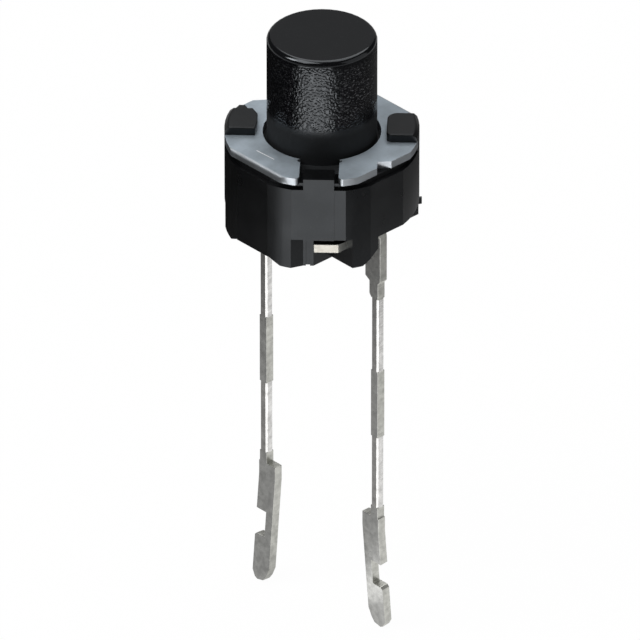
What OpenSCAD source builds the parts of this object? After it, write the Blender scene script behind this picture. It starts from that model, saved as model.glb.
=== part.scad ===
// Tactile push button switch with two long hooked leads.
// The seating plane is z = 0, the button's axis is Z and the two leads stand on the X axis.
// The housing and the terminals are alike after a half turn about Z, apart from the key at the front corner.

/* [Housing] */
// Width of the moulding across its flat sides
housing_w = 6; // [5.8:0.05:6.3]
// Diameter across the rounded corners
corner_d = 6.16; // [6.1:0.02:6.4]
// Distance between the flat facets on the front and back corners
facet_w = 5.92; // [5.8:0.02:6.1]
// Diameter of the contact well
well_d = 4.6; // [4.4:0.05:4.8]
// Depth of the contact well under the cover plate
well_depth = 1.83; // [1.6:0.01:2.4]
// Height of the ledge that stands back below the cover plate
ledge_h = 0.18; // [0.05:0.01:0.3]
// Set-back of that ledge
ledge_in = 0.14; // [0.05:0.01:0.2]

/* [Feet] */
// Height from the seating plane to the underside of the bars
foot_h = 0.57; // [0.3:0.01:1]
// Height of the arches between the feet
arch_h = 0.21; // [0.1:0.01:0.4]
// Length of each arch along its side, at its top
arch_w = 1.5; // [0.8:0.05:1.6]
// Length that the slanted ends add to each end of its mouth
arch_slant = 0.38; // [0.1:0.02:0.5]
// Depth of each arch into the moulding
arch_in = 0.8; // [0.3:0.05:1.2]
// Distance from the axis to the side walls of the open corners
open_x = 1.8; // [1.7:0.02:1.9]
// Distance from the axis to the end wall of the open corners
open_y = 0.37; // [0.3:0.01:0.6]
// Distance from the axis to the inner wall of the notches for the cut bar ends
notch_y = 1.29; // [1:0.02:1.5]
// Distance from the axis to the side wall of those notches
notch_x = 1.85; // [1.82:0.01:1.88]
// Distance from the axis to the outer step of those notches
step_x = 1.45; // [1.4:0.01:1.55]
// Slant of that step to each side
step_in = 0.17; // [0.05:0.01:0.2]
// Distance from the axis to the wall behind that step
step_y = 2.32; // [2.2:0.01:2.4]
// Depth of the groove down that step
groove_in = 0.05; // [0.02:0.01:0.08]
// Height of those notches above the bars
notch_over = 0.18; // [0.05:0.01:0.4]
// Length of the slant under the feet beside the leads
slant_len = 0.59; // [0.1:0.01:0.7]
// Height of that slant
slant_h = 0.44; // [0.1:0.01:0.5]
// Diameter of the gate mark on the foot at the right corner
gate_d = 0.24; // [0.1:0.02:0.4]

/* [Key and posts] */
// Width of the key at the front corner
key_w = 0.97; // [0.6:0.01:1.1]
// How far the key stands out of the front facet
key_out = 0.04; // [0.02:0.01:0.1]
// Length of the key's top towards the axis
key_len = 0.64; // [0.3:0.02:0.7]
// Width of the two posts through the cover plate
post_w = 1; // [0.7:0.05:1.2]
// Height of the staked heads above the plate
head_h = 0.27; // [0.1:0.01:0.4]
// How far a staked head reaches over the plate towards the button
head_over = 0.25; // [0.05:0.01:0.3]
// How far it reaches over the plate on each side
head_side = 0.2; // [0.05:0.01:0.25]
// Slant round the outer edge of each head
head_slant = 0.12; // [0.05:0.01:0.2]

/* [Cover plate] */
// Thickness of the plate
plate_t = 0.25; // [0.15:0.01:0.35]
// Width of the plate across its flat sides
plate_w = 5.74; // [5.6:0.02:5.9]
// Gap between the button and the plate's hole, all round
hole_gap = 0.125; // [0.05:0.005:0.2]
// Gap between the key and the plate's slot, on each side
slot_gap = 0.135; // [0.05:0.005:0.2]
// Gap between a post and its notch in the plate
post_gap = 0.02; // [0.01:0.01:0.05]
// Radius of the plate's corners beside the key
mouth_r = 0.15; // [0.05:0.01:0.2]
// Radius of the reliefs where the slot meets the hole
relief_r = 0.09; // [0.05:0.01:0.15]
// Depth of the bite left by each carrier strip
bite_in = 0.27; // [0.1:0.01:0.35]
// Length of that bite along the edge
bite_len = 0.62; // [0.3:0.02:0.8]
// Radius of the rolled edge along two flat sides
roll_r = 0.1; // [0.05:0.01:0.2]

/* [Button] */
// Diameter of the button
button_d = 3.5; // [3:0.05:3.6]
// Height of the button above the plate
button_h = 3.5; // [1:0.05:8]
// Radius of the button's top edge
button_edge = 0.18; // [0.05:0.01:0.4]
// Travel of the button
travel = 0.25; // [0.1:0.01:0.3]
// Gap between the flange and the well's wall
flange_gap = 0.06; // [0.03:0.01:0.1]
// Thickness of the flange
flange_t = 0.5; // [0.3:0.02:0.8]
// Gap between the flange and the plate at rest
stop_gap = 0.02; // [0.01:0.005:0.05]
// Diameter of the stem under the flange
stem_d = 2.4; // [1.6:0.1:3]
// Diameter of the boss that presses on the dome
boss_d = 1; // [0.6:0.05:1.4]
// Height of that boss
boss_h = 0.3; // [0.1:0.02:0.5]

/* [Snap dome] */
// Gap between the dome and the well's wall
dome_gap = 0.1; // [0.08:0.01:0.15]
// Rise of the dome
dome_h = 0.28; // [0.26:0.01:0.4]
// Thickness of the dome
dome_t = 0.06; // [0.04:0.005:0.1]
// Gap between the boss and the dome
boss_gap = 0.01; // [0.005:0.005:0.05]

/* [Contacts] */
// Thickness of the contact sheet and the leads
sheet_t = 0.3; // [0.2:0.01:0.4]
// How far the contacts stand up from the bars, to the floor of the well
rise = 0.35; // [0.32:0.01:0.5]
// Diameter of the centre contact
pad_d = 1.1; // [0.8:0.05:1.4]
// Width of the arm to the centre contact
arm_w = 0.5; // [0.3:0.02:0.55]
// Width of the outer contact ring
ring_w = 0.5; // [0.3:0.02:0.6]
// Height of the raised lands under the dome's rim
land_h = 0.05; // [0.04:0.01:0.12]
// Gap between the pressed dome and the centre contact
pad_gap = 0.01; // [0.01:0.01:0.04]
// Angle that the outer contact ring leaves open for the arm
ring_open = 120; // [110:5:150]
// Direction of the arm from the axis, in degrees
arm_angle = -22; // [-24:1:-20]
// Gap round the bar end in its notch
bar_gap = 0.11; // [0.05:0.01:0.15]
// Width of the cut bar end
bar_w = 0.55; // [0.4:0.01:0.6]
// Set-back of the cut behind the corner facet
bar_back = 0.03; // [0.01:0.01:0.2]
// Moulding that covers the wide part of each bar beside the notch
bar_cover = 0.15; // [0.05:0.01:0.2]

/* [Leads] */
// Distance between the two leads
pitch = 4.86; // [4.8:0.02:5]
// Radius inside the bend at the top
bend_r = 0.1; // [0.05:0.01:0.2]
// Length of the leads below the seating plane
lead_len = 14.25; // [13.8:0.05:20]
// Width of the thin part of the lead
lead_w = 0.32; // [0.24:0.01:0.4]
// Width of the pressed flats on the thin part's corners
coin = 0.055; // [0.03:0.005:0.09]
// Reach of the shoulder inwards from the lead's centre line
shoulder_in = 0.43; // [0.3:0.01:0.45]
// Reach of the shoulder outwards
shoulder_out = 0.26; // [0.2:0.01:0.28]
// Depth of the shoulder's end below the seating plane
shoulder_z = 1.12; // [0.5:0.01:2]
// Height of the two tapers that lead from the shoulder to the thin part
taper_h = 0.12; // [0.1:0.02:0.3]
// Length of the half-width step between the tapers
step_len = 0.46; // [0.2:0.05:1]
// Depth of the top of the plain middle part
plain_z = 4.5; // [3:0.1:6]
// Length of the plain middle part
plain_len = 2.45; // [1:0.05:4]
// Depth of the second plain part above the blade
root_z = 9.55; // [8.5:0.05:9.8]
// Depth of the blade's ledge
blade_z = 9.95; // [9.9:0.05:10.1]
// Reach of the blade inwards from the lead's centre line
blade_in = 0.55; // [0.3:0.01:0.7]
// Reach of the blade outwards
blade_out = 0.2; // [0.16:0.01:0.3]
// Distance from the ledge to the crease
crease_len = 0.5; // [0.3:0.05:0.8]
// Bend of the blade out of its plane, in degrees
crease_angle = 4.8; // [0:0.1:8]
// Distance from the ledge to the hook's notch
hook_z = 1.78; // [1.2:0.02:1.8]
// Length of that notch
hook_len = 0.97; // [0.6:0.01:1.2]
// Depth of that notch
hook_in = 0.44; // [0.2:0.01:0.5]
// Slope of the notch's upper end
hook_slope = 0.08; // [0:0.02:0.3]
// Size of the rounding at the tip
tip_r = 0.12; // [0.05:0.01:0.13]
// Length of the tip's long slant
tip_len = 0.55; // [0.4:0.05:1]

/* [Hidden] */
// Roundness of the bores and turned parts, and of small rounds
round_fn = 96;
small_fn = 32;
// Directions of the corners from the axis, seen from above
half_turn = 180;
front_corner = -45;
right_corner = 45;
left_corner = 225;
gate_angle = 56;
// Shift of each post along its corner, towards the front
right_shift = 0.06;
left_shift = -0.2;
// A cut reaches this far past what it cuts
over = 0.5;
reach = 10;
// Heights
corner_z = foot_h + sheet_t;
floor_z = corner_z + rise;
plate_z = floor_z + well_depth;
plate_top = plate_z + plate_t;
button_top = plate_top + button_h;
notch_z = corner_z + notch_over;
key_top = plate_top - stop_gap;
dome_z = floor_z + land_h;
boss_z = dome_z + dome_h + dome_t + boss_gap;
pad_top = dome_z + dome_h + boss_gap - travel - pad_gap;
flange_z = plate_z - stop_gap;
// Radii and widths
plate_d = corner_d;
hole_d = button_d + 2 * hole_gap;
slot_w = key_w + 2 * slot_gap;
flange_d = well_d - 2 * flange_gap;
dome_d = well_d - 2 * dome_gap;
dome_r = (dome_d * dome_d / 4 + dome_h * dome_h) / (2 * dome_h);
ring_out = well_d / 2 - dome_gap / 2;
post_in = well_d / 2;
land_len = 0.35;
land_w = 0.6;
land_angle = 85;
key_front = facet_w / 2 + key_out;
// Places of the leads and the bars that they hang from
lead_x = pitch / 2;
bar_x = notch_x + bar_gap;
shoulder_x = lead_x - shoulder_in;
shoulder_w = shoulder_in + shoulder_out;
neck_z = shoulder_z + 2 * taper_h + step_len;
bend_out = bend_r + sheet_t;

// Points along an arc from angle a to angle b
function arc(x, y, r, a, b, steps = 8) =
    [for (i = [0 : steps]) [x + r * cos(a + (b - a) * i / steps), y + r * sin(a + (b - a) * i / steps)]];

// The same shape here and after a half turn about the axis
module both_ways() {
    children();
    rotate(half_turn) children();
}

// A slab of a square outline with rounded corners
module rounded_slab(width, round_d, height) {
    intersection() {
        cylinder(d = round_d, h = height, $fn = round_fn);
        translate([-width / 2, -width / 2, 0]) cube([width, width, height]);
    }
}

// The moulding's outline, which also has the flat facets on the front and back corners
module moulding(inset, bottom, top) {
    facet = facet_w - 2 * inset;
    height = top - bottom;
    translate([0, 0, bottom]) intersection() {
        rounded_slab(housing_w - 2 * inset, corner_d - 2 * inset, height);
        rotate(front_corner) translate([-facet / 2, -reach / 2, 0]) cube([facet, reach, height]);
    }
}

// The open corner through which a lead came out flat before it was bent down
module open_corner() {
    translate([open_x, -open_y, -over]) cube([reach, reach, corner_z + over]);
}

// The notch in which the strip's bar was cut off, with a groove between its step and its side wall
module bar_notch() {
    corner_x = step_x + step_in;
    jog = notch_x - corner_x;
    from = jog / 4;
    to = jog * 2 / 3;
    translate([0, 0, -over]) linear_extrude(notch_z + over) polygon([
        [step_x - step_in, -reach], [step_x - step_in, -housing_w / 2 - step_in], [corner_x, -step_y],
        [corner_x + from, from - step_y], [corner_x + from - groove_in, from + groove_in - step_y],
        [corner_x + to - groove_in, to + groove_in - step_y], [corner_x + to, to - step_y],
        [notch_x, jog - step_y], [notch_x, -notch_y], [reach, -notch_y], [reach, -reach]]);
}

// The slant under a foot that leaves room for the bend of the lead
module foot_slant() {
    translate([open_x, -open_y, 0]) rotate([90, 0, 90]) linear_extrude(reach) polygon([
        [over, -over], [over, slant_h], [0, slant_h], [-slant_len, 0], [-slant_len, -over]]);
}

// The arch between the feet of a flat side, with slanted ends
module arch() {
    mouth = arch_w / 2 + arch_slant;
    top = arch_w / 2;
    translate([0, -housing_w / 2 + arch_in, 0]) rotate([90, 0, 0]) linear_extrude(reach)
        polygon([[-mouth, 0], [-top, arch_h], [top, arch_h], [mouth, 0], [mouth, -over], [-mouth, -over]]);
}

// A post through the plate, and the head that was staked over it
module post(corner, shift) {
    intersection() {
        moulding(0, plate_z - ledge_h, plate_top);
        rotate(corner) translate([post_in, shift - post_w / 2, 0]) cube([reach, post_w, reach]);
    }
}

module head(corner, outline) {
    top_r = corner_d / 2 - head_slant;
    intersection() {
        moulding(0, plate_top, plate_top + head_h);
        translate([0, 0, plate_top])
            cylinder(r1 = top_r + head_h, r2 = top_r, h = head_h, $fn = round_fn);
        rotate(corner) linear_extrude(reach) polygon(outline);
    }
}

// The right head flowed evenly, with round inner corners
module right_head() {
    back = right_shift + post_w / 2 + head_side;
    front = right_shift - post_w / 2 - head_side;
    inner = post_in - head_over;
    round_back = 0.34;
    round_front = 0.18;
    head(right_corner, concat(
        [[reach, front], [reach, back]],
        arc(inner + round_back, back - round_back, round_back, 90, 180),
        arc(inner + round_front, front + round_front, round_front, 180, 270)));
}

// The left head has a small peak at its back and stops short at its front
module left_head() {
    back = left_shift - post_w / 2 - head_side;
    front = left_shift + post_w / 2 + head_side / 3;
    inner = post_in - head_over;
    corner_cut = 0.16;
    peak_place = 0.26;
    peak_w = 0.2;
    peak_h = 0.19;
    peak_x = post_in + peak_place;
    head(left_corner, [
        [reach, back], [reach, front], [inner + corner_cut / 3, front], [inner, front - 2 * corner_cut],
        [inner, back + 2 * corner_cut], [inner + corner_cut, back], [peak_x - peak_w, back],
        [peak_x - peak_w / 2, back - peak_h], [peak_x + peak_w / 2, back - peak_h], [peak_x + peak_w, back]]);
}

// The key at the front corner, which fills the slot in the plate
module key() {
    rotate(front_corner) translate([key_front - key_len, -key_w / 2, notch_z])
        cube([key_len, key_w, key_top - notch_z]);
}

module gate_mark() {
    rotate(gate_angle) translate([corner_d / 2 - gate_d / 2, 0, foot_h - gate_d / 2]) rotate([0, 90, 0])
        cylinder(d = gate_d, h = gate_d, $fn = small_fn);
}

module housing() color([0.13, 0.13, 0.14]) difference() {
    union() {
        difference() {
            union() {
                moulding(0, 0, plate_z - ledge_h);
                moulding(ledge_in, 0, plate_z);
                key();
            }
            translate([0, 0, floor_z]) cylinder(d = well_d, h = reach, $fn = round_fn);
        }
        post(right_corner, right_shift);
        post(left_corner, left_shift);
        right_head();
        left_head();
        gate_mark();
    }
    both_ways() {
        open_corner();
        bar_notch();
        foot_slant();
        arch();
    }
    centre_sheet();
    outer_sheet();
    both_ways() bend();
}

// The bite where a carrier strip was torn off the plate's edge
module strip_bite() {
    end = bite_len / 2;
    translate([plate_w / 2, 0, -over]) linear_extrude(plate_t + 2 * over)
        polygon([[over, -end - over], [0, -end], [-bite_in, bite_in - end], [0, end], [over, end + over]]);
}

// What the rolled edge takes off along a flat side
module rolled_edge() {
    translate([-reach / 2, -plate_w / 2, plate_t - roll_r]) difference() {
        translate([0, -over, 0]) cube([reach, over + roll_r, roll_r + over]);
        translate([-over, roll_r, 0]) rotate([0, 90, 0])
            cylinder(r = roll_r, h = reach + 2 * over, $fn = small_fn);
    }
}

module post_notch(corner, shift) {
    rotate(corner) translate([post_in - post_gap, shift - post_w / 2 - post_gap, -over])
        cube([reach, post_w + 2 * post_gap, reach]);
}

// What rounding takes off the plate's two corners beside the key
module mouth_corners() {
    middle_y = slot_w / 2 + mouth_r;
    middle_x = sqrt((plate_d / 2 - mouth_r) * (plate_d / 2 - mouth_r) - middle_y * middle_y);
    for (side = [0, 1])
        mirror([0, side, 0]) difference() {
            translate([middle_x, slot_w / 2 - over, -over]) cube([reach, mouth_r + over, reach]);
            translate([middle_x, middle_y, -reach / 2]) cylinder(r = mouth_r, h = 2 * reach, $fn = small_fn);
        }
}

module cover_plate() color([0.62, 0.66, 0.70]) translate([0, 0, plate_z]) difference() {
    rounded_slab(plate_w, plate_d, plate_t);
    translate([0, 0, -over]) cylinder(d = hole_d, h = reach, $fn = round_fn);
    rotate(front_corner) {
        translate([0, -slot_w / 2, -over]) cube([reach, slot_w, reach]);
        for (side = [-1, 1])
            translate([sqrt(hole_d * hole_d - slot_w * slot_w) / 2 + relief_r, side * slot_w / 2, -over])
                cylinder(r = relief_r, h = reach, $fn = small_fn);
        mouth_corners();
    }
    post_notch(right_corner, right_shift);
    post_notch(left_corner, left_shift);
    both_ways() {
        strip_bite();
        rolled_edge();
    }
}

module plunger() color([0.16, 0.16, 0.17]) rotate_extrude($fn = round_fn)
    polygon(concat(
        [[0, boss_z], [boss_d / 2, boss_z], [boss_d / 2, boss_z + boss_h], [stem_d / 2, boss_z + boss_h],
            [stem_d / 2, flange_z - flange_t], [flange_d / 2, flange_z - flange_t], [flange_d / 2, flange_z],
            [button_d / 2, flange_z]],
        arc(button_d / 2 - button_edge, button_top - button_edge, button_edge, 0, 90),
        [[0, button_top]]));

// Half the dome's section, from rim to crown
function cap(radius, from, to) = arc(0, 0, radius, from, to, 16);

module snap_dome() color([0.78, 0.74, 0.62]) {
    rim_angle = acos(dome_d / 2 / dome_r);
    translate([0, 0, dome_z + dome_h - dome_r]) rotate_extrude($fn = round_fn)
        polygon(concat(cap(dome_r + dome_t, rim_angle, 90), cap(dome_r, 90, rim_angle)));
}

// One layer of contact sheet, by its lowest corner and its size
module strip(x, y, width, length, bottom = foot_h, thick = sheet_t) {
    translate([x, y, bottom]) cube([width, length, thick]);
}

// The bar that a lead hangs from, with its cut-off end and the step up to the contact
module bar() {
    strip(bar_x, -notch_y + bar_cover, shoulder_x + shoulder_w - bar_x, notch_y - bar_cover - open_y);
    intersection() {
        strip(bar_x, -reach, bar_w, reach - open_y);
        rotate(front_corner) translate([0, -reach / 2, 0]) cube([facet_w / 2 - bar_back, reach, reach]);
    }
    intersection() {
        strip(bar_x, -notch_y, sheet_t, notch_y - open_y, foot_h, sheet_t + rise);
        rotate(arm_angle) translate([0, -arm_w / 2, 0]) cube([reach, arm_w, reach]);
    }
}

// The arm and the centre contact, pressed up to the floor of the well
module centre_sheet() {
    bar();
    translate([0, 0, floor_z - sheet_t]) {
        cylinder(d = pad_d, h = pad_top - floor_z + sheet_t, $fn = round_fn);
        intersection() {
            rotate(arm_angle) translate([0, -arm_w / 2, 0]) cube([reach, arm_w, sheet_t]);
            translate([0, -notch_y, 0]) cube([bar_x + sheet_t, notch_y, sheet_t]);
        }
    }
}

// A stretch of ring between two angles, less than a half turn apart
module ring_part(from, to) {
    difference() {
        cylinder(r = ring_out, h = sheet_t, $fn = round_fn);
        translate([0, 0, -over]) cylinder(r = ring_out - ring_w, h = reach, $fn = round_fn);
        rotate(from) translate([-reach, -reach, -over]) cube([2 * reach, reach, reach]);
        rotate(to) translate([-reach, 0, -over]) cube([2 * reach, reach, reach]);
    }
}

// The contact ring, with the three raised lands that the dome's rim stands on
module outer_sheet() {
    middle = arm_angle + half_turn;
    half_ring = half_turn - ring_open / 2;
    rotate(half_turn) bar();
    translate([0, 0, floor_z - sheet_t]) {
        ring_part(middle - half_ring, middle);
        ring_part(middle, middle + half_ring);
        rotate(middle) translate([ring_out - ring_w, -arm_w / 2, 0]) cube([ring_w, arm_w, sheet_t]);
        intersection() {
            for (turn = [-land_angle, 0, land_angle])
                rotate(middle + turn) translate([ring_out - land_len, -land_w / 2, 0])
                    cube([land_len, land_w, sheet_t + land_h]);
            cylinder(r = ring_out, h = reach, $fn = round_fn);
        }
    }
}

// The bend that turns a bar down into a lead
module bend() {
    translate([shoulder_x, -bend_r, foot_h - bend_r]) {
        translate([0, -open_y, bend_r]) cube([shoulder_w, open_y, sheet_t]);
        intersection() {
            rotate([0, 90, 0]) difference() {
                cylinder(r = bend_out, h = shoulder_w, $fn = round_fn);
                translate([0, 0, -over]) cylinder(r = bend_r, h = shoulder_w + 2 * over, $fn = round_fn);
            }
            cube([shoulder_w, bend_out, bend_out]);
        }
    }
}

// A flat outline in x and z, as thick as the sheet
module sheet_cut(points) {
    translate([0, sheet_t, 0]) rotate([90, 0, 0]) linear_extrude(sheet_t) polygon(points);
}

// A stretch of neck whose four edges are coined
module coined(top, bottom) {
    half = lead_w / 2;
    translate([0, 0, -bottom]) linear_extrude(bottom - top) polygon([
        [-half, coin], [coin - half, 0], [half - coin, 0], [half, coin],
        [half, sheet_t - coin], [half - coin, sheet_t], [coin - half, sheet_t], [-half, sheet_t - coin]]);
}

// The hooked blade below its crease, which leans out of the lead's plane
module blade() {
    crease = blade_z + crease_len;
    throat = blade_out - hook_in;
    hook_start = blade_z + hook_z;
    hook_end = hook_start + hook_len;
    translate([0, 0, -crease]) rotate([crease_angle, 0, 0]) translate([0, 0, crease]) sheet_cut([
        [-blade_in, -crease], [blade_out, -crease], [blade_out, -hook_start], [throat, -hook_start],
        [throat, hook_slope - hook_end], [blade_out - hook_slope, hook_slope - hook_end],
        [blade_out, -hook_end],
        [blade_out, tip_len / 2 - lead_len], [blade_out - tip_r, tip_r / 2 - lead_len],
        [blade_out - 2 * tip_r, -lead_len], [2 * tip_r - blade_in, tip_r / 2 - lead_len],
        [tip_r - blade_in, 2 * tip_r - lead_len], [-blade_in, tip_len - lead_len]]);
}

// The lead below its bend, from the wide shoulder to the crease
module lead() {
    half = lead_w / 2;
    neck_in = (shoulder_in + half) / 2 - coin;
    step_z = shoulder_z + taper_h;
    plain_end = plain_z + plain_len;
    translate([lead_x, 0, 0]) {
        sheet_cut([
            [-shoulder_in, foot_h - bend_r], [shoulder_out, foot_h - bend_r], [shoulder_out, -shoulder_z],
            [half, -step_z], [half, -neck_z], [-half, -neck_z], [-neck_in, taper_h - neck_z],
            [-neck_in, -step_z], [-shoulder_in, -shoulder_z]]);
        coined(neck_z, plain_z);
        sheet_cut([[-half, -plain_z], [half, -plain_z], [half, -plain_end], [-half, -plain_end]]);
        coined(plain_end, root_z);
        sheet_cut([[-half, -root_z], [half, -root_z], [half, -blade_z], [-half, -blade_z]]);
        sheet_cut([[-blade_in, -blade_z], [blade_out, -blade_z], [blade_out, -blade_z - crease_len],
            [-blade_in, -blade_z - crease_len]]);
        blade();
    }
}

module centre_terminal() color([0.80, 0.81, 0.80]) {
    centre_sheet();
    bend();
    lead();
}

module outer_terminal() color([0.80, 0.81, 0.80]) {
    outer_sheet();
    rotate(half_turn) {
        bend();
        lead();
    }
}

housing();
cover_plate();
plunger();
snap_dome();
centre_terminal();
outer_terminal();
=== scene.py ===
import math

import bmesh
import bpy
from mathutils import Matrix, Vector


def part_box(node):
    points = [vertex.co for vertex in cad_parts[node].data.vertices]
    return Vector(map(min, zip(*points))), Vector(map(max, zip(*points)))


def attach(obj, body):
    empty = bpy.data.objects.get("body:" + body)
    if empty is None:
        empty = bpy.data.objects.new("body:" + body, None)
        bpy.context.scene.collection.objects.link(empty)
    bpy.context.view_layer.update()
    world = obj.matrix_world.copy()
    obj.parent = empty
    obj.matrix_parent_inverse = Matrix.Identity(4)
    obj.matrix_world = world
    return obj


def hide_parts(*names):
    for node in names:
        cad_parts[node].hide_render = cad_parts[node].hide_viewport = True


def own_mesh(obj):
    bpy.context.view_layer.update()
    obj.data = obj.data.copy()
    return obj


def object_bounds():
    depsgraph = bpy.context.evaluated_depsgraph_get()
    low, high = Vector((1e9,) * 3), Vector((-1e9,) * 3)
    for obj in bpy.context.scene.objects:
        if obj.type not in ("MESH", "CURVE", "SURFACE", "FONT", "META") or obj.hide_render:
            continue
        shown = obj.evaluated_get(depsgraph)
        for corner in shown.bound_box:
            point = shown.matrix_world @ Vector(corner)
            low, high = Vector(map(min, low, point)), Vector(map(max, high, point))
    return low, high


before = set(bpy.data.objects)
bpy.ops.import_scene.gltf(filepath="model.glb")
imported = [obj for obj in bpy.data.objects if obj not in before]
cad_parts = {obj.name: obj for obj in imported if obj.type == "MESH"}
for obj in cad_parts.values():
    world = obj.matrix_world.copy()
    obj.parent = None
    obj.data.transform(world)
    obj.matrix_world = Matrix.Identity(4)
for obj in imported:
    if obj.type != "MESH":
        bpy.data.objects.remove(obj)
cad_low, cad_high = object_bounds()
scene = bpy.context.scene
mm = 0.001


# The camera stands where the photographer stood: over the front corner, between the two sides that show,
# looking down on the switch, and far enough away that its upright edges stay parallel.
view_azimuth = math.radians(47)
view_elevation = math.radians(31.3)
frame_width = 20.31 * mm
camera_distance = 0.6
aim = Vector((-0.044, -0.043, -3.690)) * mm


def way(azimuth, elevation):
    """The direction from the switch towards what stands at this azimuth and elevation."""
    return Vector((math.sin(azimuth) * math.cos(elevation), -math.cos(azimuth) * math.cos(elevation),
                   math.sin(elevation)))


def stand(thing, direction, distance, looks_at=Vector()):
    """Puts a camera or a lamp in the scene, turned to what it looks at."""
    thing.location = looks_at + direction * distance
    thing.rotation_euler = direction.to_track_quat("Z", "Y").to_euler()
    scene.collection.objects.link(thing)


lens = bpy.data.cameras.new("camera")
lens.sensor_width = 36
lens.lens = lens.sensor_width * camera_distance / frame_width
lens.clip_start = 0.05
lens.clip_end = 10
camera = bpy.data.objects.new("camera", lens)
stand(camera, way(view_azimuth, view_elevation), camera_distance, aim)
scene.camera = camera


# The housing is one small block moulded in matt black plastic around the contact sheet.
# Its cut and moulded edges are all but sharp, its walls have the fine grain of the tool, and two posts of it
# are staked over the cover plate, which rounds the rims of their heads.
housing_crease = 12.5
staked_edge = 0.06 * mm
staked_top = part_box("housing")[1].z
staked_band = 0.02 * mm
housing_black = (0.0028, 0.0029, 0.0032, 1)
housing_dust = (0.009, 0.009, 0.010, 1)
cool_shine = (0.90, 0.95, 1.0, 1)


def softened(name, edge, which=lambda e: True, steps=2, cuts=(), sharp=32, crease=32, rounding_crease=55):
    """A copy of a piece's solid in which those of its sharp edges that pass the test in which are rounded.

    The rounding is only as wide as the piece's shortest edge leaves room for. Faces are also divided at the
    heights in cuts, where the finish changes. Faces that meet at less than the crease angle are shaded as
    one, and a large face stays flat beside its rounded edges.
    """
    same_point = 0.0005 * mm
    same_plane = math.radians(0.6)
    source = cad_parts[name]
    mesh = source.data.copy()
    mesh.materials.clear()
    shape = bmesh.new()
    shape.from_mesh(mesh)
    shape.transform(source.matrix_world)
    bmesh.ops.remove_doubles(shape, verts=shape.verts, dist=same_point)
    bmesh.ops.dissolve_limit(shape, angle_limit=same_plane, verts=shape.verts, edges=shape.edges)
    bmesh.ops.recalc_face_normals(shape, faces=shape.faces)
    for height in cuts:
        bmesh.ops.bisect_plane(shape, geom=shape.verts[:] + shape.edges[:] + shape.faces[:],
                               plane_co=(0, 0, height), plane_no=(0, 0, 1), dist=same_point)
    rounding = shape.faces.layers.int.new("rounding")
    chosen = [e for e in shape.edges if e.calc_face_angle(0) > math.radians(sharp) and which(e)]
    made = bmesh.ops.bevel(shape, geom=chosen, offset=edge, segments=steps, profile=0.5, affect="EDGES",
                           clamp_overlap=True)
    for face in made["faces"]:
        face[rounding] = 1
    shape.normal_update()
    shaded_as_one = (math.cos(math.radians(crease)), math.cos(math.radians(rounding_crease)))
    normals = []
    for face in shape.faces:
        face.smooth = True
        limit = shaded_as_one[face[rounding]]
        for corner in face.loops:
            beside = [other for other in corner.vert.link_faces if other.normal.dot(face.normal) > limit]
            normals.append(sum((other.normal * other.calc_area() for other in beside), Vector()).normalized())
    shape.to_mesh(mesh)
    shape.free()
    mesh.normals_split_custom_set(normals)
    piece = bpy.data.objects.new(name + "_made", mesh)
    scene.collection.objects.link(piece)
    return piece


def put(tree, kind, inputs=(), **settings):
    """Adds a node with its settings. Each input named gets a value, or a join from another node's output."""
    node = tree.nodes.new("ShaderNode" + kind)
    for name, value in settings.items():
        setattr(node, name, value)
    for name, value in dict(inputs).items():
        if isinstance(value, bpy.types.NodeSocket):
            tree.links.new(value, node.inputs[name])
        else:
            node.inputs[name].default_value = value
    return node.outputs


def new_group(name, inputs, outputs):
    """An empty node group. Inputs are given as name, kind and first value, outputs as name and kind."""
    group = bpy.data.node_groups.new(name, "ShaderNodeTree")
    for socket, kind, start in inputs:
        item = group.interface.new_socket(socket, in_out="INPUT", socket_type="NodeSocket" + kind)
        item.default_value = start
    for socket, kind in outputs:
        group.interface.new_socket(socket, in_out="OUTPUT", socket_type="NodeSocket" + kind)
    return group, group.nodes.new("NodeGroupInput").outputs, group.nodes.new("NodeGroupOutput").inputs


def new_material(name):
    """An empty material, its node tree and the inputs of its surface."""
    material = bpy.data.materials.new(name)
    material.use_nodes = True
    return material, material.node_tree, material.node_tree.nodes["Principled BSDF"].inputs


def add_relief(tree, skin, height, strength, depth):
    relief = put(tree, "Bump", {"Height": height, "Strength": strength, "Distance": depth})
    tree.links.new(relief["Normal"], skin["Normal"])


# Grain: fine pits in a moulded skin, a few specks of dust, and a slow change in gloss
usual_noise = {"From Min": 0.3, "From Max": 0.7}
grain, given, result = new_group(
    "Moulded grain",
    (("Pit size mm", "Float", 0.06), ("Pit detail", "Float", 3), ("Pit depth", "Float", 0.5),
     ("Gloss low", "Float", 0.4), ("Gloss high", "Float", 0.6)),
    (("Height", "Float"), ("Roughness", "Float"), ("Dust", "Float")))
place = put(grain, "TexCoord")["Object"]
per_pit = put(grain, "Math", {0: 1000, 1: given["Pit size mm"]}, operation="DIVIDE")[0]
pits = put(grain, "TexNoise", {"Vector": place, "Scale": per_pit, "Detail": given["Pit detail"],
                               "Roughness": 0.6})["Fac"]
slow = put(grain, "TexNoise", {"Vector": place, "Scale": 900, "Detail": 4})["Fac"]
specks = put(grain, "TexNoise", {"Vector": place, "Scale": 9000, "Detail": 2})["Fac"]
deep = put(grain, "Math", {0: pits, 1: given["Pit depth"]}, operation="MULTIPLY")[0]
gloss = put(grain, "MapRange", {"Value": slow, **usual_noise,
                                "To Min": given["Gloss low"], "To Max": given["Gloss high"]})["Result"]
few = put(grain, "MapRange", {"Value": specks, "From Min": 0.66, "From Max": 0.74})["Result"]
grain.links.new(deep, result["Height"])
grain.links.new(gloss, result["Roughness"])
grain.links.new(few, result["Dust"])


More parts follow.
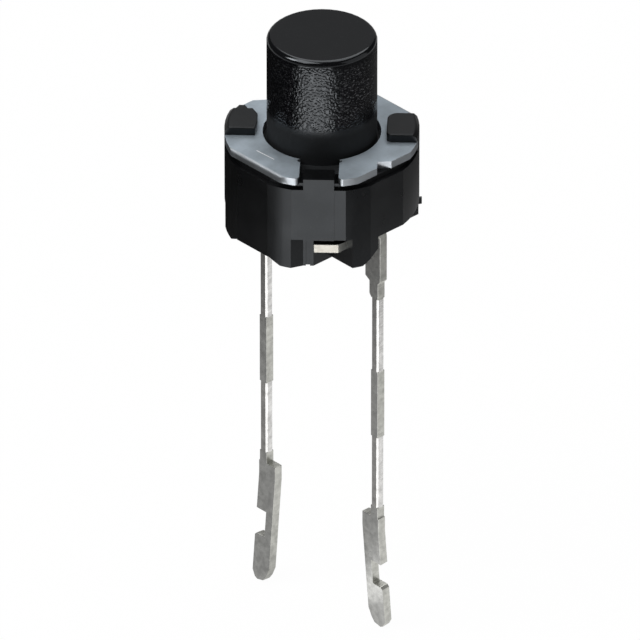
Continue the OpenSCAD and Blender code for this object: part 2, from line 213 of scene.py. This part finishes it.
def moulding(name, black, dust, shine, texture):
    """A black plastic with dust in its grain. Each piece joins the grain's height and gloss in its way."""
    plastic, tree, skin = new_material(name)
    skin["Specular IOR Level"].default_value = shine
    skin["Specular Tint"].default_value = cool_shine
    grained = put(tree, "Group", texture, node_tree=grain)
    tone = put(tree, "Mix", {"Factor": grained["Dust"], "A": black, "B": dust}, data_type="RGBA")
    tree.links.new(tone["Result"], skin["Base Color"])
    return plastic, tree, skin, grained


housing_plastic, tree, skin, grained = moulding(
    "black moulding", housing_black, housing_dust, 0.5,
    {"Pit size mm": 0.09, "Pit depth": 0.8, "Gloss low": 0.27, "Gloss high": 0.36})
tree.links.new(grained["Roughness"], skin["Roughness"])
add_relief(tree, skin, grained["Height"], strength=0.15, depth=0.006 * mm)

housing = softened("housing", staked_edge, steps=4, crease=housing_crease, rounding_crease=32,
                   which=lambda e: min(e.verts[0].co.z, e.verts[1].co.z) > staked_top - staked_band)
housing.data.materials.append(housing_plastic)
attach(housing, "base")
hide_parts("housing")


# The cover plate is punched from thin rolled steel strip, with a bright burnished rim where the punch went
# in. It is open at the key and held down by the two staked posts.
plate_edge = 0.03 * mm
plate_steel = (0.47, 0.54, 0.60)
rim_steel = (0.62, 0.66, 0.70)
flat_enough = 0.985
scratch_start, scratch_end = (-0.515 * mm, -2.337 * mm), (0.267 * mm, -2.305 * mm)
scratch_half_width = 0.016 * mm
scratch_steel = (0.95, 0.96, 0.97, 1)

# Rolled strip: fine lines, darker clouds and shallow dents. Turn changes where in the pattern a metal lies.
strip, given, result = new_group(
    "Rolled strip",
    (("Colour", "Color", (0.5, 0.5, 0.5, 1)), ("Cloud", "Float", 0.25), ("Cloud size mm", "Float", 0.77),
     ("Dents", "Float", 0), ("Gloss low", "Float", 0.25), ("Gloss high", "Float", 0.45),
     ("Turn", "Vector", (0, 0, 0))),
    (("Colour", "Color"), ("Roughness", "Float"), ("Height", "Float")))
place = put(strip, "TexCoord")["Object"]
along = put(strip, "Mapping", {"Vector": place, "Rotation": given["Turn"], "Scale": (1, 0.06, 1)})["Vector"]
lines = put(strip, "TexNoise", {"Vector": along, "Scale": 14000, "Detail": 3})["Fac"]
per_cloud = put(strip, "Math", {0: 1000, 1: given["Cloud size mm"]}, operation="DIVIDE")[0]
cloudy = put(strip, "TexNoise", {"Vector": place, "Scale": per_cloud, "Detail": 4})["Fac"]
darkest = put(strip, "Math", {0: 1, 1: given["Cloud"]}, operation="SUBTRACT")[0]
spread = put(strip, "MapRange", {"Value": cloudy, **usual_noise, "To Min": 1, "To Max": darkest})["Result"]
shade = put(strip, "VectorMath", {0: given["Colour"], "Scale": spread}, operation="SCALE")["Vector"]
gloss = put(strip, "MapRange", {"Value": lines, **usual_noise,
                                "To Min": given["Gloss low"], "To Max": given["Gloss high"]})["Result"]
dented = put(strip, "Math", {0: cloudy, 1: given["Dents"], 2: lines}, operation="MULTIPLY_ADD")[0]
strip.links.new(shade, result["Colour"])
strip.links.new(gloss, result["Roughness"])
strip.links.new(dented, result["Height"])


def strip_metal(name, colour, cloud, gloss, turn=0.0, bump=0.25, metallic=1.0, cloud_size=0.77, dents=0.0):
    """A material of rolled strip, darkened by its clouds down to 1 - cloud of its colour."""
    line_depth = 0.004 * mm
    metal, tree, skin = new_material(name)
    skin["Metallic"].default_value = metallic
    rolled = put(tree, "Group", {"Colour": (*colour, 1), "Cloud": cloud, "Cloud size mm": cloud_size,
                                 "Dents": dents, "Gloss low": gloss[0], "Gloss high": gloss[1],
                                 "Turn": (0, 0, turn)}, node_tree=strip)
    tree.links.new(rolled["Colour"], skin["Base Color"])
    tree.links.new(rolled["Roughness"], skin["Roughness"])
    add_relief(tree, skin, rolled["Height"], strength=bump, depth=line_depth)
    return metal


quarter_turn = math.pi / 2
plate_metal = strip_metal("plate steel", plate_steel, cloud=0.32, gloss=(0.50, 0.62), turn=quarter_turn,
                          metallic=0.6)
rim_metal = strip_metal("burnished rim", rim_steel, cloud=0.15, gloss=(0.34, 0.44), turn=quarter_turn,
                        bump=0.06)

# One long scratch bares the plate's steel in a straight line.
tree = plate_metal.node_tree
skin = tree.nodes["Principled BSDF"].inputs
apart = put(tree, "SeparateXYZ", {0: put(tree, "TexCoord")["Object"]})
course = put(tree, "MapRange", {"Value": apart["X"], "From Min": scratch_start[0], "From Max": scratch_end[0],
                                "To Min": scratch_start[1], "To Max": scratch_end[1]}, clamp=False)["Result"]
beside = put(tree, "Math", {0: apart["Y"], 1: course, 2: scratch_half_width}, operation="COMPARE")[0]
within = put(tree, "Math", {0: apart["X"], 1: (scratch_start[0] + scratch_end[0]) / 2,
                            2: (scratch_end[0] - scratch_start[0]) / 2}, operation="COMPARE")[0]
scratch = put(tree, "Math", {0: beside, 1: within}, operation="MULTIPLY")[0]
unmarked = skin["Base Color"].links[0].from_socket
bared = put(tree, "Mix", {"Factor": scratch, "A": unmarked, "B": scratch_steel}, data_type="RGBA")["Result"]
tree.links.new(bared, skin["Base Color"])

cover_plate = softened("cover_plate", plate_edge)
cover_plate.data.materials.append(plate_metal)
cover_plate.data.materials.append(rim_metal)
for face in cover_plate.data.polygons:
    face.material_index = int(face.normal.z < flat_enough)
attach(cover_plate, "base")
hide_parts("cover_plate")


# The button is turned out round from its mould in charcoal plastic: a plain post with a rounded rim,
# a flange that the cover plate keeps in, and a thinner stem that stands on the dome.
# Its side is grained from under the rim down to a smooth, dull foot.
button_edge = 0.02 * mm
button_sharp = 40
button_black = (0.0030, 0.0032, 0.0038, 1)
button_dust = (0.007, 0.007, 0.008, 1)
grain_depth = 0.018 * mm
grain_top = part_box("plunger")[1].z - 0.28 * mm
grain_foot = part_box("cover_plate")[1].z + 0.91 * mm
grain_fade = 0.12 * mm
foot_roughness = 0.75

button_plastic, tree, skin, grained = moulding(
    "charcoal button", button_black, button_dust, 0.65,
    {"Pit size mm": 0.07, "Pit detail": 0.0, "Pit depth": 1.0, "Gloss low": 0.08, "Gloss high": 0.14})
height = put(tree, "SeparateXYZ", {0: put(tree, "TexCoord")["Object"]})["Z"]
pitted = grained["Height"]
for smooth_at, grained_at in ((grain_top + grain_fade, grain_top - grain_fade),
                              (grain_foot - 2 * grain_fade, grain_foot + 2 * grain_fade)):
    end = put(tree, "MapRange", {"Value": height, "From Min": smooth_at, "From Max": grained_at},
              interpolation_type="SMOOTHSTEP")["Result"]
    pitted = put(tree, "Math", {0: pitted, 1: end}, operation="MULTIPLY")[0]
add_relief(tree, skin, pitted, strength=1, depth=grain_depth)
dull_foot = put(tree, "Mix", {"Factor": end, "A": foot_roughness, "B": grained["Roughness"]},
                data_type="FLOAT")
tree.links.new(dull_foot["Result"], skin["Roughness"])

plunger = softened("plunger", button_edge, sharp=button_sharp)
plunger.data.materials.append(button_plastic)
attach(plunger, "button")
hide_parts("plunger")


# The snap dome is a shallow cap of thin sprung steel that lies on the contact ring's lands under the button.
# It is hidden inside the closed switch, where the button's foot flattens it by the travel as it goes down.
# Here it stays at rest.
dome_edge = 0.01 * mm
dome_steel = (0.66, 0.64, 0.58)

snap_dome = softened("snap_dome", dome_edge)
snap_dome.data.materials.append(strip_metal("dome steel", dome_steel, cloud=0.1, gloss=(0.15, 0.25)))
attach(snap_dome, "base")
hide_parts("snap_dome")
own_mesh(snap_dome)


# The two terminals are stamped from plated brass strip and moulded in, and each lead is bent down at its
# corner. The coined stretches of the necks are bright, the rolled faces dull, and the sheared edges paler.
# The broad faces of the necks get a darker copy of the neck metal, which is painted shade.
lead_edge = 0.022 * mm
plain_span = (-6.95 * mm, -4.5 * mm)
neck_span = (-9.55 * mm, -1.84 * mm)
bar_foot = 0.5 * mm
bend_top = 0.4 * mm
square_on = 0.9
slantwise = 0.45
worn = dict(turn=quarter_turn, bump=0.6, cloud_size=0.20, dents=1.5)
lead_metals = (
    strip_metal("rolled face", (0.56, 0.56, 0.54), cloud=0.32, gloss=(0.26, 0.42), **worn),
    strip_metal("sheared edge", (0.71, 0.71, 0.66), cloud=0.32, gloss=(0.26, 0.42), **worn),
    strip_metal("coined neck", (0.95, 0.94, 0.92), cloud=0.36, gloss=(0.20, 0.36), **worn),
    strip_metal("shaded neck faces", (0.56, 0.55, 0.53), cloud=0.36, gloss=(0.28, 0.44), **worn),
    strip_metal("cut bar", (0.80, 0.77, 0.70), cloud=0.10, gloss=(0.45, 0.60), turn=quarter_turn),
)
rolled_face, sheared_edge, coined_neck, shaded_neck_face, cut_bar = range(len(lead_metals))


def lead_finish(face):
    """Which finish a face of a terminal has, by where it is and which way it looks; the necks' broad faces
    get painted shade.
    """
    height, normal = face.center.z, face.normal
    looks_along_y = abs(normal.y) > square_on
    if plain_span[0] < height < plain_span[1]:
        return rolled_face if looks_along_y else sheared_edge
    if neck_span[0] < height < neck_span[1]:
        # Painted shade: the necks' broad faces get a darker copy of the coined neck metal.
        return shaded_neck_face if looks_along_y else coined_neck
    if height > bar_foot and abs(normal.x * normal.y) > slantwise:
        return cut_bar
    if height < bend_top and looks_along_y:
        return rolled_face
    return sheared_edge


for name in ("centre_terminal", "outer_terminal"):
    terminal = softened(name, lead_edge, cuts=neck_span + plain_span)
    for metal in lead_metals:
        terminal.data.materials.append(metal)
    for face in terminal.data.polygons:
        face.material_index = lead_finish(face)
    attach(terminal, "base")
    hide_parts(name)


# The switch stands on the tips of its leads on a white sweep. It looks plain white to the camera and keeps a
# faint shadow.
# What shines mirrors the sweep as a table with painted light: bright in front and pale on the right, with
# painted shade falling off to the left and far away.
floor_z = cad_low.z - 0.02 * mm
half_floor = 0.6
card_white = (0.94, 0.94, 0.94, 1)
card_roughness = 0.9
share_for_camera = 0.97

# The levels of the painted light and shade that reflections see on the table, and the distances from the
# switch's middle between which they change
near_left, far_left, left_fall = 0.50, 0.01, (18 * mm, 24 * mm)
near_right, far_right, right_fall = 0.85, 0.07, (20 * mm, 29 * mm)
near_front, far_front, front_rise = 1.6, 3.0, (27 * mm, 30 * mm)
last_front, front_fall = 0.02, (38 * mm, 46 * mm)
far_table, far_rise = 0.5, (45 * mm, 85 * mm)
middle_blend = (-4 * mm, 4 * mm)
front_azimuth = view_azimuth - math.radians(14)
front_spread = (0.78, 0.90)

floor_mesh = bpy.data.meshes.new("floor")
corners = ((-1, -1), (1, -1), (1, 1), (-1, 1))
floor_mesh.from_pydata([(x * half_floor, y * half_floor, floor_z) for x, y in corners], [], [(0, 1, 2, 3)])
floor = bpy.data.objects.new("floor", floor_mesh)
scene.collection.objects.link(floor)
white_card, tree, matt = new_material("white card")
matt["Base Color"].default_value = card_white
matt["Roughness"].default_value = card_roughness


def ramp(tree, value, span, low, high):
    """A smooth change from one level to another across a span of what is measured."""
    return put(tree, "MapRange", {"Value": value, "From Min": span[0], "From Max": span[1],
                                  "To Min": low, "To Max": high}, interpolation_type="SMOOTHSTEP")["Result"]


def combine(tree, operation, first, second):
    return put(tree, "Math", {0: first, 1: second}, operation=operation)[0]


def blended(tree, mask, low, high):
    return put(tree, "Mix", {"Factor": mask, "A": low, "B": high}, data_type="FLOAT")["Result"]


position = put(tree, "NewGeometry")["Position"]
ground = put(tree, "VectorMath", {0: position, 1: (1, 1, 0)}, operation="MULTIPLY")["Vector"]
away = put(tree, "VectorMath", {0: ground}, operation="LENGTH")["Value"]
ground_way = put(tree, "VectorMath", {0: ground}, operation="NORMALIZE")["Vector"]
rightwards = put(tree, "VectorMath", {0: ground, 1: (math.cos(view_azimuth), math.sin(view_azimuth), 0)},
                 operation="DOT_PRODUCT")["Value"]
frontwards = put(tree, "VectorMath", {0: ground_way, 1: way(front_azimuth, 0)},
                 operation="DOT_PRODUCT")["Value"]
side_level = blended(tree, ramp(tree, rightwards, middle_blend, 0, 1),
                     ramp(tree, away, left_fall, near_left, far_left),
                     ramp(tree, away, right_fall, near_right, far_right))
front_level = combine(tree, "MULTIPLY", ramp(tree, away, front_rise, near_front, far_front),
                      ramp(tree, away, front_fall, 1, last_front))
# Painted light for reflections: a bright pool in front of the switch, pale on the right, painted shade to the
# left.
painted_near_light = blended(tree, ramp(tree, frontwards, front_spread, 0, 1), side_level, front_level)
painted_table_light = combine(tree, "MAXIMUM", painted_near_light, ramp(tree, away, far_rise, 0, far_table))
ray = put(tree, "LightPath")
glow = put(tree, "Emission", {"Strength": blended(tree, ray["Is Camera Ray"], painted_table_light, 1)})["Emission"]
seen = combine(tree, "MAXIMUM", combine(tree, "MULTIPLY", ray["Is Camera Ray"], share_for_camera),
               combine(tree, "MAXIMUM", ray["Is Glossy Ray"], ray["Is Transmission Ray"]))
card = put(tree, "MixShader", {"Fac": seen, 1: tree.nodes["Principled BSDF"].outputs["BSDF"], 2: glow})
tree.links.new(card["Shader"], tree.nodes["Material Output"].inputs["Surface"])
floor_mesh.materials.append(white_card)

# Around it is a white studio, which lights the switch softly and is nearly dark in its reflections.
studio_level = 0.30
mirrored_studio_level = 0.04
world = bpy.data.worlds.new("studio")
world.use_nodes = True
scene.world = world
tree = world.node_tree
background = tree.nodes["Background"].inputs
background["Color"].default_value = (1, 1, 1, 1)
ray = put(tree, "LightPath")
seen = combine(tree, "MAXIMUM", ray["Is Camera Ray"], ray["Is Transmission Ray"])
dim = put(tree, "MapRange", {"Value": ray["Is Glossy Ray"], "To Min": studio_level,
                             "To Max": mirrored_studio_level})["Result"]
tree.links.new(blended(tree, seen, dim, 1), background["Strength"])

# Five square soft boxes: azimuth from the camera's side and elevation in degrees, size in metres, watts
lamp_distance = 0.5
for name, azimuth, elevation, size, watts in (
        ("key", -75, 42, 0.15, 0.4),
        ("left", -62, 60, 0.35, 1.1),
        ("right", 75, 20, 0.5, 0.3),
        ("back", 176, 36, 0.5, 0.15),
        ("over", 168, 64, 0.4, 0.8)):
    lamp = bpy.data.lights.new(name, "AREA")
    lamp.shape = "SQUARE"
    lamp.size = size
    lamp.energy = watts
    lamp_way = way(view_azimuth + math.radians(azimuth), math.radians(elevation))
    stand(bpy.data.objects.new(name, lamp), lamp_way, lamp_distance)

scene.view_settings.view_transform = "Standard"
